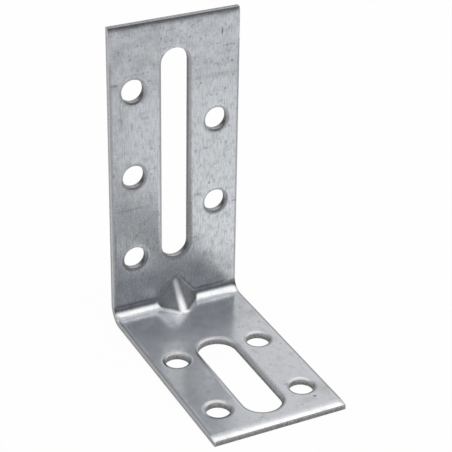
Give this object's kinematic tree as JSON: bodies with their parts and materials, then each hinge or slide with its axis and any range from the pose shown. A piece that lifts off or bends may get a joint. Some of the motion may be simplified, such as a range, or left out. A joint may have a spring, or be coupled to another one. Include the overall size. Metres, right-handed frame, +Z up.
{
  "type": "reinforced angle bracket",
  "caption": "Folded steel angle bracket with unequal legs, a pressed corner gusset, round screw holes and a long adjustment slot in each leg.",
  "frame": {"origin": "on the ground under the middle of the bracket's footprint", "axes": "+Z up the wall leg, +Y towards the wall behind it, +X across the bracket's width to the right of someone who faces the wall"},
  "size_m": [0.03, 0.052, 0.07],
  "materials": {
    "galvanised_steel": "semi-gloss zinc coat with fine rolling grain, small dark specks and light handling wear"
  },
  "bodies": {
    "root": {"angle_bracket": "galvanised_steel"}
  },
  "joints": []
}
